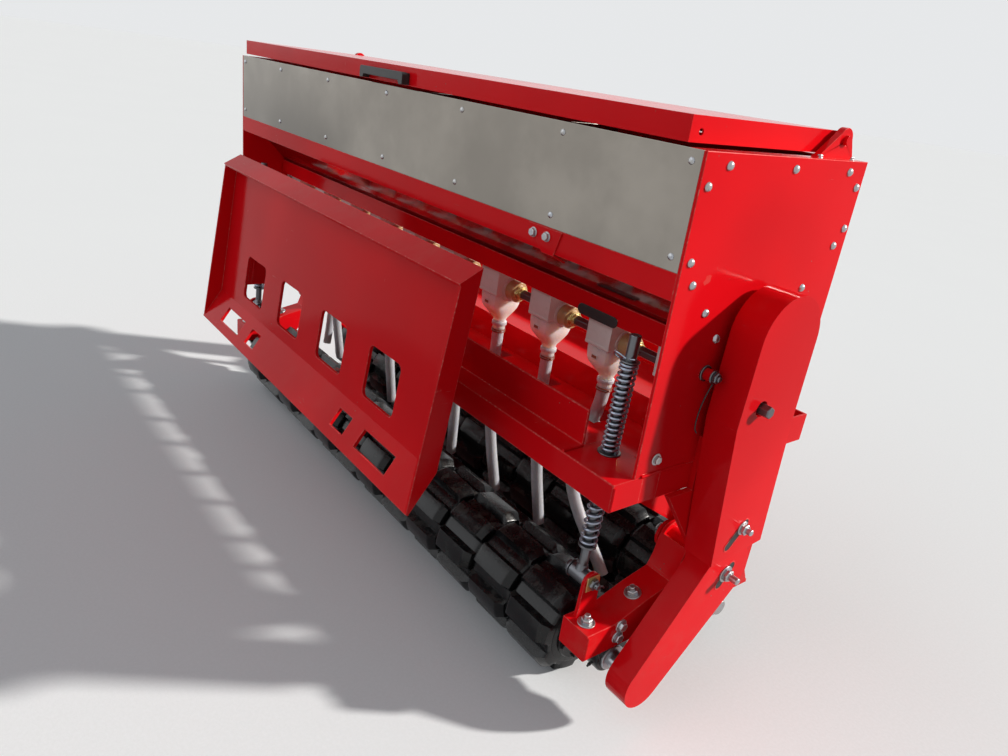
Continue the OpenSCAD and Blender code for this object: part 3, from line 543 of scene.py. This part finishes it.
def roller(name, axle_y, tips):
    """Ringed roller with a drum, end plates and an axle that reaches out to its tips."""
    shape = Shape()
    for i in range(RINGS):
        x0 = -RING_END + i * RING_STEP + (RING_STEP - RING_W) / 2
        middle = 101.25 + 22.5 * (i % 2)
        cuts = [(x0 + run, top, valley) for run, top, valley in RING_SECTIONS]
        cuts += [(x0 + RING_W - run, top, valley) for run, top, valley in RING_SECTIONS[::-1]]
        shape.skin([[(x, y, z) for y, z in ring_section(axle_y, middle, top, valley)]
                    for x, top, valley in cuts])
    at = (0, axle_y, AXLE_Z)
    shape.turned([(-779, 72), (-778, 75), (778, 75), (779, 72)], at, sides=64)
    for s in (1, -1):
        shape.turned([(778, 62), (783, 62), (785, 60), (785, 44), (797, 40), (806, 38), (808, 35)],
                     at, (s, 0, 0), 48)
        for k in range(6):
            t = math.radians(60 * k + 17)
            shape.bolt((s * 784.6, axle_y + 52 * math.cos(t), AXLE_Z + 52 * math.sin(t)),
                       (s, 0, 0), 13, 1.2)
    shape.paint = 1
    shape.turned([(-tips[0], 16), (-tips[0] + 1.5, 17.5), (tips[1] - 1.5, 17.5), (tips[1], 16)],
                 at, sides=36)
    piece(name + "_rings", shape, [CAST, ZINC], body=name, replaces=(name,),
          angle=28)


roller("front_roller", FRONT_AXLE, (878, 932))
roller("rear_roller", REAR_AXLE, (878, 878))


def bearings(name, axle_y):
    """Pillow blocks that hang under a seat, with a seal, a collar and a grease nipple."""
    shape = Shape()
    for s in (1, -1):
        shape.paint = 0
        foot = [(-72, 147.9), (-72, 138), (-69, 135), (-46, 134), (-40, 128), (-34, 114), (34, 114),
                (40, 128), (46, 134), (69, 135), (72, 138), (72, 147.9)]
        low, high = sorted((s * 826, s * 864))
        shape.prism([(axle_y + y, z) for y, z in foot], low, high)
        shape.turned([(828, 30), (829, 34), (832, 36), (858, 36), (861, 34), (862, 30)],
                     (0, axle_y, AXLE_Z), (s, 0, 0), 48)
        shape.turned([(0, 3.4), (5, 3.4), (6, 2.2), (9, 2.2), (10, 1)],
                     (s * 845, axle_y - 33, AXLE_Z - 16), (0, -0.8, -0.5), 12)
        shape.paint = 1
        for side in (822, 861):
            shape.turned([(side, 25), (side + 1.5, 27), (side + 6, 27), (side + 7.5, 25)],
                         (0, axle_y, AXLE_Z), (s, 0, 0), 36)
        for y in (-56, 56):
            shape.bolt((s * 845, axle_y + y, 134.6), (0, 0, -1), 19, 1.3, 6)
    piece(name + "_blocks", shape, [CAST, ZINC], replaces=(name,), bevel=1.2)


bearings("front_bearings", FRONT_AXLE)
bearings("rear_bearings", REAR_AXLE)


# ---------------------------------------------------------------- seed meters
def meters():
    """White housings with a seam and a window, on milky funnels with a clamped neck."""
    boxes, funnels, trim = Shape(), Shape(), Shape()
    mouth_x, mouth_y, neck = 31.4, 38.4, 14.4
    for x in METER_X:
        boxes.paint = 0
        outline = [(338, 713.6), (338, 639), (339.5, 637.9), (414.5, 637.9), (416, 639),
                   (416, 713.6)]
        boxes.prism(outline, x - 31.4, x + 31.4)
        boxes.prism([(337.1, 645), (337.1, 640), (342, 639), (411, 639), (416.8, 640),
                     (416.8, 645)], x - 32, x + 32)
        boxes.prism([(337.3, 713.7), (337.3, 707), (340, 705), (416.5, 705), (416.5, 713.7)],
                    x - 32, x + 32)
        for s in (1, -1):
            boxes.turned([(31, 28), (33, 28), (33.8, 26), (33.8, 22)], (x, SHAFT[0], SHAFT[1]),
                         (s, 0, 0), 32)
        boxes.box((x - 31.6, 337.4, 646), (x - 29.4, 339, 704))
        boxes.box((x + 29.4, 337.4, 646), (x + 31.6, 339, 704))
        boxes.paint = 1
        boxes.turned([(0, 2.6), (1, 2.6)], (x + 20, 338, 698), (0, -1, 0), 12)
        rings = []
        for z, share in ((637.6, 0), (630, 0), (613, 0.04), (604, 0.16), (594, 0.42), (584, 0.72),
                         (577, 0.93), (572, 1), (550.2, 1)):
            ring = []
            for k in range(32):
                t = 2 * math.pi * (k + 0.5) / 32
                c, s = math.cos(t), math.sin(t)
                q = (abs(c) ** 6 + abs(s) ** 6) ** (-1 / 6)
                bx, by = mouth_x * c * q, mouth_y * s * q
                ring.append((x + bx + (neck * c - bx) * share,
                             377 + 5 * share + by + (neck * s - by) * share, z))
            rings.append(ring)
        funnels.skin(rings)
        funnels.turned([(0, 14), (0, 17), (1, 17.6), (7, 17.6), (8, 17), (8, 14)],
                       (x, SHAFT[0], 560), (0, 0, 1), 28, loop=True)
        trim.paint = 0
        trim.box((x - 9, 337.6, 614), (x + 7, 339.2, 623))
        trim.paint = 1
        trim.box((x - 7.4, 337.3, 615.6), (x + 5.4, 338.2, 621.4))
        for z in (543, 548):
            ring = [(x + 15.2 * math.cos(t), SHAFT[0] + 15.2 * math.sin(t),
                     z + 1.2 * math.sin(t / 2)) for t in (2 * math.pi * k / 28 for k in range(28))]
            trim.hose(ring, 1.2, 8, loop=True)
        for s in (1, -1):
            ear = [(x + 14 + s, SHAFT[0] - 6, 544 + s), (x + 19, SHAFT[0] - 10 + 2 * s, 546 + s),
                   (x + 23, SHAFT[0] - 12 + 4 * s, 549 + s)]
            trim.hose(bend(ear, 3), 1.3, 8)
    piece("meter_boxes", boxes, [WHITE, BLACK],
          replaces=("meter_housings",), bevel=0.9)
    piece("meter_spouts", funnels, [MILKY], replaces=("meter_funnels",))
    piece("spout_rings", trim, [WHITE, BROWN])


meters()


def seed_shaft():
    """Hex bar with a brown collar, a yellow nut and a clip beside each meter."""
    shape = Shape()
    r = 19 / math.sqrt(3)
    shape.turned([(-884, r * 0.86), (-881.5, r), (977.5, r), (980, r * 0.86)],
                 (0, SHAFT[0], SHAFT[1]), (1, 0, 0), 6, phase=math.radians(30))
    for x in METER_X:
        at = (x + 33.4, SHAFT[0], SHAFT[1])
        shape.paint = 1
        shape.turned([(0, 22), (0.6, 23.4), (21, 23.4), (23, 22.4), (23.6, 17), (26.5, 16.5)], at,
                     sides=40)
        shape.paint = 2
        shape.turned([(26, 14.4), (26.6, 16.6), (33.4, 16.6), (34, 14.4)], at, sides=6)
        shape.turned([(34, 12.6), (35.4, 12.6), (36, 11.6), (37, 12.6), (38.4, 12.6), (39, 11.4)],
                     at, sides=24)
        shape.hose(bend([(at[0] + 30, at[1] - 14, at[2] + 10), (at[0] + 30, at[1] - 20, at[2] + 1),
                         (at[0] + 30, at[1] - 15, at[2] - 11)]), 1.5, 8)
    piece("seed_shaft", shape, [STEEL, COLLAR, GOLD_ZINC], body="meter_shaft",
          replaces=("meter_shaft",), bevel=0.4)


seed_shaft()


# ---------------------------------------------------------------- springs and rods
def on_rod(run, s=1, dx=0, dy=0):
    """A point at a height above the rod's eye, on the leaning rod at end s."""
    return (s * (ROD_X + dx), ROD_FOOT[0] + math.sin(ROD_LEAN) * run + dy,
            ROD_FOOT[1] + math.cos(ROD_LEAN) * run)


def springs(name, low, high, turns):
    """A pair of coil springs with a closed turn at each end, between two heights on the rods."""
    shape = Shape()
    steps, closed = 26, 5.3
    free = (high - low - 2 * WIRE_R - 2 * closed) / (turns - 2)
    for s in (1, -1):
        path = []
        for i in range(turns * steps + 1):
            t = i / steps
            if t < 1:
                rise = closed * t
            elif t > turns - 1:
                rise = closed + free * (turns - 2) + closed * (t - turns + 1)
            else:
                rise = closed + free * (t - 1)
            a = 2 * math.pi * t
            path.append(on_rod(low + WIRE_R + rise, s, COIL_R * math.cos(a) * s,
                               COIL_R * math.sin(a)))
        shape.hose(path, WIRE_R, 10)
    piece(name + "_coils", shape, [DARK_STEEL], replaces=(name,))


springs("upper_springs", FRAME_TOP - ROD_FOOT[1] + 2.8, 417, 17)
springs("lower_springs", 65.5, FRAME_Z - ROD_FOOT[1] - 0.6, 10)


def spring_rods():
    """Rods with an eye, a sleeve with a hairpin clip, seats for the springs and eye bolts."""
    shape = Shape()
    up = Vector((0, math.sin(ROD_LEAN), math.cos(ROD_LEAN)))
    for s in (1, -1):
        shape.paint = 0
        foot = on_rod(0, s)
        shape.turned([(12, 9), (462, 9), (464, 7.5)], foot, up, 28)
        shape.turned([(60, 9.2), (60, 16), (61, 17), (64.5, 17), (65.3, 16)], foot, up, 32)
        shape.turned([(417.4, 9.2), (417.4, 16.4), (418, 17), (419.6, 17), (420.2, 16.4)],
                     foot, up, 32)
        shape.turned([(419.8, 10), (462, 10), (464.4, 9.4), (464.4, 7.6)], foot, up, 32)
        top = (s * ROD_X, foot[1] + 8.8, FRAME_TOP)
        shape.turned([(0.05, 9.3), (0.05, 20), (1, 20.6), (2.6, 20.6), (3, 20)], top, (0, 0, 1), 36)
        bottom = (s * ROD_X, foot[1] + 6.9, FRAME_Z)
        shape.turned([(0.05, 12), (0.05, 19), (1.6, 19)], bottom, (0, 0, -1), 36)
        shape.turned([(-20, 13), (-18, 15.6), (20, 15.6), (22, 13)], foot, (s, 0, 0), 36)
        shape.hose([on_rod(10, s), on_rod(22, s)], [13, 9.4], 28)
        shape.bolt((s * (ROD_X - 20), foot[1], foot[2]), (-s, 0, 0), 22, 1.45)
        shape.bolt((s * (ROD_X + 32.5), foot[1], foot[2]), (s, 0, 0), 20, 0, 7)
        cotter = [(s * (ROD_X + x), foot[1] + y, foot[2] + z)
                  for x, y, z in ((45, -9, 2), (45, 0, 0), (45, 13, -3), (44, 19, -9))]
        shape.hose(bend(cotter), 1.6, 8)
        shape.paint = 1
        low, high = sorted((s * (ROD_X + 31), s * (ROD_X + 33.5)))
        shape.box((low, foot[1] - 15, foot[2] - 15), (high, foot[1] + 15, foot[2] + 15))
        shape.paint = 2
        pin = on_rod(424, s)
        loop = [(0, -2, 0), (-6, -3, 2), (-12, -6, 5), (-20, -7, 6), (-27, -4, 3), (-28, 1, -2),
                (-22, 4, -6), (-13, 2, -5), (-4, 1, -2), (6, 0, 1), (17, 0, 4)]
        clip = [(pin[0] + s * x, pin[1] - 8 + y, pin[2] + z) for x, y, z in loop]
        shape.hose(bend(clip), 1.7, 8)
    piece("spring_rod_set", shape, [STEEL, GOLD_ZINC, DARK_STEEL],
          replaces=("spring_rods",), bevel=0.5)


spring_rods()


# ---------------------------------------------------------------- bolts and welds
# Along Y and Z on each side plate
SIDE_BOLTS = ((254, 1021), (420, 1021), (580, 1021), (215, 991), (215, 882), (231, 847),
              (278, 800), (321, 754), (615, 996), (615, 926), (596, 896), (533, 824),
              (323, 752))


def frame_bolts():
    """Zinc bolts and rivets on the side plates, shaft plates, panels, sill and hinge ears."""
    shape = Shape()
    for s in (1, -1):
        out = (s, 0, 0)
        for y, z in SIDE_BOLTS:
            shape.turned([(-0.3, 7), (0.5, 7), (2.2, 6.2), (3.8, 4.2), (4.4, 2)],
                         (s * HALF_W, y, z), out, 20)
        shape.bolt((s * HALF_W, 241, 552), out, 13, 1.5)
        for y in (509, 607):
            shape.bolt((s * 866, y, 1039), (0, 0, 1), 9, 1.2)
        for y in (355, 409):
            shape.bolt((s * 871.8, y, 690), (-s, 0, 0), 13)
    for x in (-862, -590, -295, 0, 295, 590, 862):
        for z in (886, 1022):
            shape.turned([(-0.3, 5.6), (0.4, 5.6), (1.8, 4.8), (3, 3), (3.3, 1.4)], (x, PANEL_Y, z),
                         (0, -1, 0), 18)
    for x in (557, 593):
        shape.bolt((x, 193.8, 849), (0, -1, 0), 13, 1.25)
    piece("frame_bolts", shape, [ZINC], bevel=0.35)


frame_bolts()


def arm_bolts():
    """Bolts through the arms, and the pivots' nuts and washers."""
    shape = Shape()
    for s in (1, -1):
        out = (s, 0, 0)
        shape.bolt((s * 848, 200, 205), (0, 0, 1), 19, 1.6, 8)
        shape.bolt((s * 848, 316, 228.4), (0, -0.31, 0.95), 19, 1.6, 8)
        shape.bolt((s * 878, 262, 196), out, 17, 1.4)
        shape.bolt((s * 878, 258, 172), out, 17, 1.4)
        shape.turned([(-0.6, 20), (2.6, 20), (3, 19)], (s * 797.6, *PIVOT), (-s, 0, 0), 32)
        shape.bolt((s * 794.8, *PIVOT), (-s, 0, 0), 27, 0, 4)
    for s, x, tip in ((1, LOWER_CASE_FACE, 980), (-1, 897.8, 916)):
        shape.turned([(-0.3, 17), (2.6, 17), (3, 16)], (s * x, *PIVOT), (s, 0, 0), 32)
        shape.bolt((s * (x + 2.8), *PIVOT), (s, 0, 0), 22, 0, tip - x - 14)
    piece("arm_bolts", shape, [ZINC], replaces=("pivot_shafts",), bevel=0.5)


arm_bolts()


# The upper edge of an arm along Y and Z, from its front end
ARM_TOP = [(176, 148.2), (176, 205), (245.6, 205), (324, 230.7), (388, 245.6), (399, 272.3),
           (403, 294), (409.1, 315)]


def arms():
    """Folded arms with round ends, a pivot sleeve and a lug for the rod's eye."""
    shape = Shape()
    side = strip(ARM_TOP, 0.6)[len(ARM_TOP):][::-1] + arc(PIVOT, 38, 146, -75, 26)
    side.append((336.7, 148.2))
    lug = [(193, 204), (197, 272)] + arc((217, 274), 20, 180, 0, 14) + [(237, 272), (241, 204)]
    for s in (1, -1):
        for inner in (ARM_X0, ARM_X0 + ARM_W - ARM_T):
            shape.prism(side, *sorted((s * inner, s * (inner + ARM_T))))
        low, high = sorted((s * (ARM_X0 + 0.4), s * (ARM_X0 + ARM_W - 0.4)))
        shape.prism(strip(ARM_TOP, ARM_T), low, high)
        shape.box((low, 176.6, FOOT_Z), (high, 336, FOOT_Z + ARM_T))
        shape.turned([(798, 17.6), (799, 19), (811.4, 19), (811.6, 27), (877, 27), (878.4, 26)],
                     (0, *PIVOT), (s, 0, 0), 40)
        shape.prism(lug, *sorted((s * 821, s * 829)))
    piece("arm_shells", shape, [RED, RED_EDGE_WEAR_AND_HIGHLIGHT], replaces=("front_arms",),
          bevel=1.2, edge_wear_and_highlight_slot=1)


arms()


def rear_hangers():
    """Two plates and a foot over each bearing of the rear roller."""
    shape = Shape()
    wall = [(514, 148.2), (666, 148.2), (646, 186), (646, 489.8), (534, 489.8), (534, 186)]
    for s in (1, -1):
        for inner in (ARM_X0, ARM_X0 + ARM_W - ARM_T):
            shape.prism(wall, *sorted((s * inner, s * (inner + ARM_T))))
        low, high = sorted((s * (ARM_X0 + 0.6), s * (ARM_X0 + ARM_W - 0.6)))
        shape.box((low, 514.4, FOOT_Z), (high, 665.6, FOOT_Z + ARM_T))
    piece("rear_hangers", shape, [RED, RED_EDGE_WEAR_AND_HIGHLIGHT], replaces=("rear_brackets",),
          bevel=1.2, edge_wear_and_highlight_slot=1)


rear_hangers()


def sill_ends():
    """Closes the ends of the sill against the side members."""
    shape = Shape()
    for s in (1, -1):
        low, high = sorted((s * 881, s * 885.8))
        shape.box((low, 219.8, 473.2), (high, 259.8, 523.8))
    piece("sill_ends", shape, [RED])


sill_ends()


def pivot_bars():
    """Round bars through the arms and their hangers."""
    shape = Shape()
    for s in (1, -1):
        shape.turned([(790, 13), (791, 14.8), (893, 14.8), (894, 13)], (0, *PIVOT), (s, 0, 0), 32)
    piece("pivot_bars", shape, [ZINC])


pivot_bars()


def handle():
    """Square black grip on two feet."""
    shape = Shape()
    outline = [(-94, 1046.5), (-94, 1067), (-90, 1071), (90, 1071), (94, 1067), (94, 1046.5),
               (80, 1046.5), (76, 1052), (76, 1054), (-76, 1054), (-76, 1052), (-80, 1046.5)]
    shape.prism(outline, 177.5, 190, "y")
    for x in (-87, 87):
        shape.box((x - 7, 189, 1047), (x + 7, 196.2, 1070))
    piece("lid_grip", shape, [BLACK], body="lid", replaces=("lid_handle",),
          bevel=2.4)


handle()


def welds():
    """Painted weld beads where plates meet."""
    shape = Shape()
    for s in (1, -1):
        side, arm = s * (HALF_W + 0.4), s * (ARM_X0 + ARM_W + 0.3)
        deck = FRAME_TOP + 2
        for x, a, b, radius in ((side, (212, deck), (322, deck), 3),
                                (side, (512, deck), (625, deck), 3),
                                (s * 416 - 6, (71, 610), (49, 478), 3),
                                (s * 416 + 6, (71, 610), (49, 478), 3),
                                (s * 416 + 6, (149, 476), (149, 522), 3),
                                (arm, (178, 152), (178, 202), 2.4),
                                (s * 762, (198, deck), (152, deck), 2.4),
                                (s * (HALF_W + 0.6), (152, 476), (152, 520), 2.4),
                                (s * 856, (503, 1040), (606, 1040), 2.2)):
            shape.bead((x, *a), (x, *b), radius)
    piece("weld_beads", shape, [RED])


welds()


def capsule(a, b, r, steps=10):
    """Outline of a slot between two points."""
    t = math.degrees(math.atan2(b[1] - a[1], b[0] - a[0]))
    return arc(b, r, t - 90, t + 90, steps) + arc(a, r, t + 90, t + 270, steps)


def case_slots():
    """Tension slots in the chain cases, with their bolts; a black plate in each slot is painted
    shade.
    """
    shape = Shape()
    for x, a, b, r in ((CASE_FACE, (436, 417), (398, 378), 8),
                       (LOWER_CASE_FACE, (456, 308), (430, 275), 9)):
        shape.paint = 0
        inner, outer = capsule(a, b, r), capsule(a, b, r + 2.4)
        shape.skin([[(x - 0.2, y, z) for y, z in outer], [(x + 0.7, y, z) for y, z in outer],
                    [(x + 0.7, y, z) for y, z in inner], [(x - 0.2, y, z) for y, z in inner]],
                   loop=True)
        # A black plate fills the slot: painted shade for the dark inside of the case.
        shape.paint = 1
        shape.prism(inner, x - 0.5, x + 0.1)
    shape.paint = 2
    shape.bolt((CASE_FACE + 0.2, 430, 409), (1, 0, 0), 19, 1.3, 10)
    piece("case_slots", shape, [RED_EDGE_WEAR_AND_HIGHLIGHT, BLACK, ZINC], bevel=0.3)


case_slots()


def rail_slot_painted_shade():
    """A black capsule on the front of the meter rail: painted shade in place of a slot through it.
    """
    shape = Shape()
    shape.prism(capsule((577, 703.5), (662, 703.5), 10.5), 323.6, 326.1, "y")
    piece("rail_slot_painted_shade", shape, [BLACK], bevel=0.8)


rail_slot_painted_shade()


def chain_lug():
    """Lug on the side plate with a washer, a bolt and a hanging loop of wire."""
    shape = Shape()
    at = (HALF_W - 0.4, 315, 695)
    shape.turned([(2.6, 10), (18, 10), (19, 9)], at, sides=32)
    shape.paint = 1
    shape.turned([(0, 14), (3, 14), (3.6, 13)], at, sides=32)
    shape.bolt((at[0] + 18.8, 315, 695), (1, 0, 0), 17, 1.3, 4)
    shape.paint = 2
    loop = [(at[0] + 22, 311, 684), (at[0] + 20, 306, 668), (at[0] + 17, 303, 645),
            (at[0] + 14, 304, 620), (at[0] + 12, 309, 600), (at[0] + 11, 318, 590)]
    shape.hose(bend(loop), 1.3, 8)
    piece("chain_lug", shape, [RED, STEEL, BLACK], bevel=0.6)


chain_lug()


def tube_floor():
    """Sheet between the sill and the tray, with a square hole for each seed tube."""
    shape = Shape()
    low, high = 479.6, 482.6
    front, holes_y, back = 206, (350, 422), 437.6
    guard_end, member = 756.5, 825.6
    hole = 19
    shape.box((-guard_end, front, low), (guard_end, holes_y[0], high))
    edges = [-member]
    for k, x in enumerate(METER_X):
        step = {0: 17, 9: -17}.get(k, 0)
        edges += [x + step - hole, x + step + hole]
    edges.append(member)
    for a, b in zip(edges[0::2], edges[1::2]):
        shape.box((a, holes_y[0], low), (b, holes_y[1], high))
    for s in (1, -1):
        a, b = sorted((s * guard_end, s * member))
        shape.box((a, 259.4, low), (b, holes_y[0], high))
    shape.box((-member, holes_y[1], low), (member, back, high))
    bmesh.ops.remove_doubles(shape.mesh, verts=shape.mesh.verts, dist=0.01)
    piece("tube_floor", shape, [RED])


tube_floor()


# ---------------------------------------------------------------- finishes on the CAD pieces
ROUND_EDGES = {"upper_chain_case": 3.0, "lower_chain_case": 3.0, "lid": 1.6,
               "coupler_plate": 1.6, "front_sill": 2.0, "side_plates": 1.0, "front_panel": 0.5}
OWN_FINISH = {"hopper_floor": SHADED_STAINLESS}


def dress_frame():
    """Each CAD piece that stays in view gets its finish and softened edges."""
    slots = {s["node"]: s["material_slot"] for s in frame["record"]["subparts"]}
    for name, part in frame["nodes"].items():
        finish = OWN_FINISH.get(name, FINISH_OF_SLOT[slots[name]])
        part.data.materials.clear()
        part.data.materials.append(finish)
        part.data.materials.append(RED_EDGE_WEAR_AND_HIGHLIGHT if finish is RED else finish)
        if slots[name] in ("red_paint", "stainless", "white_plastic"):
            weld = part.modifiers.new("weld", "WELD")
            weld.merge_threshold = 0.00005
            soften(part, ROUND_EDGES.get(name, 0.8), 1)


dress_frame()


# ---------------------------------------------------------------- stage
def set_stage():
    """Pale floor, an even sky that is darker for the light it gives, and two soft suns."""
    scene = bpy.context.scene
    scene.view_settings.view_transform = "Standard"
    mesh = bpy.data.meshes.new("floor")
    shape = bmesh.new()
    bmesh.ops.create_circle(shape, cap_ends=True, segments=96, radius=60)
    shape.to_mesh(mesh)
    shape.free()
    floor = bpy.data.objects.new("floor", mesh)
    scene.collection.objects.link(floor)
    r = Recipe("pale_floor")
    speck = r.noise(160, 4, 0.7)
    broad = r.noise(0.8, 3)
    tone = r.mix(speck.above(0.35, 0.7), (0.835, 0.86, 0.885), (0.875, 0.90, 0.93))
    tone = r.mix(broad.above(0.3, 0.7) * 0.4, tone, (0.865, 0.89, 0.915))
    dim = (0.30, 0.295, 0.29)
    tone = r.mix(r.seen(), dim, tone)
    mesh.materials.append(r.finish(Base_Color=tone, Roughness=0.9, Specular_IOR_Level=0.0,
                                   Normal=r.bump(speck, 0.1, 0.002)))

    scene.world = bpy.data.worlds.new("soft_studio")
    sky = Nodes(scene.world, "Background")
    white = sky.node("ShaderNodeMapRange", {}, sky.seen(), To_Min=0.23, To_Max=0.82)
    sky.put_named(sky.last, {"Color": (0.97, 0.985, 1.0), "Strength": white})

    def lamp(name, at, power, spread, colour):
        data = bpy.data.lights.new(name, "SUN")
        data.energy, data.angle, data.color = power, math.radians(spread), colour
        light = bpy.data.objects.new(name, data)
        scene.collection.objects.link(light)
        light.location = at
        light.rotation_mode = "QUATERNION"
        light.rotation_quaternion = (Vector((0, 0, 0.5)) - Vector(at)).to_track_quat("-Z", "Y")

    lamp("key", (5.0, 7.2, 4.7), 4.3, 3, (1.0, 0.96, 0.90))
    lamp("fill", (-2.9, -4.0, 2.4), 1.0, 80, (0.94, 0.97, 1.0))


set_stage()
